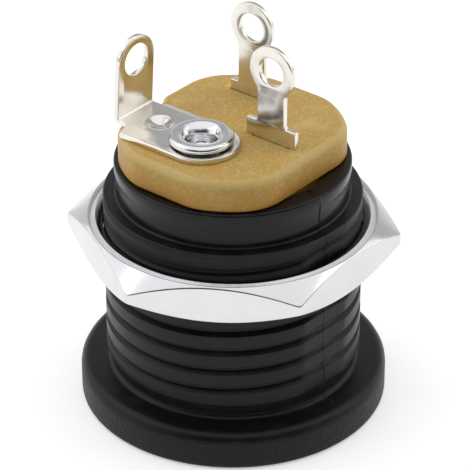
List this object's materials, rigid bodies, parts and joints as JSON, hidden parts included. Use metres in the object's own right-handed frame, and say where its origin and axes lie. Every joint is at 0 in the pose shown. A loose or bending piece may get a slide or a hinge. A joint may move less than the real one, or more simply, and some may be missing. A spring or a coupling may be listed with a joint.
{
  "type": "dc barrel jack",
  "caption": "Round panel-mounting power socket with a flanged, threaded body, a hexagon nut and upright solder lugs on an insulating cap.",
  "frame": {"origin": "centre of the flange's front face, where the plug goes in; the part stands on that face", "axes": "+Z along the socket's axis towards the solder lugs, X along the riveted strip with its lug at -X"},
  "size_m": [0.014, 0.0152, 0.0181],
  "materials": {
    "black_moulding": "satin",
    "tan_laminate": "satin",
    "nut_plating": "bright nickel plate",
    "pin_plating": "bright nickel plate",
    "lug_plating": "bright tin plate",
    "rivet_plating": "bright nickel plate"
  },
  "bodies": {
    "socket": {"housing": "black_moulding", "insulator": "tan_laminate", "centre_pin": "pin_plating", "pin_terminal": "lug_plating", "sleeve_terminal": "lug_plating", "switch_terminal": "lug_plating", "break_contact": "lug_plating", "terminal_rivet": "rivet_plating"},
    "nut": {"hex_nut": "nut_plating"}
  },
  "joints": [
    {"name": "nut_travel", "type": "slide", "parent": "socket", "child": "nut", "axis": [0, 0, 1], "range_m": [-0.00555, 0.0112]}
  ]
}
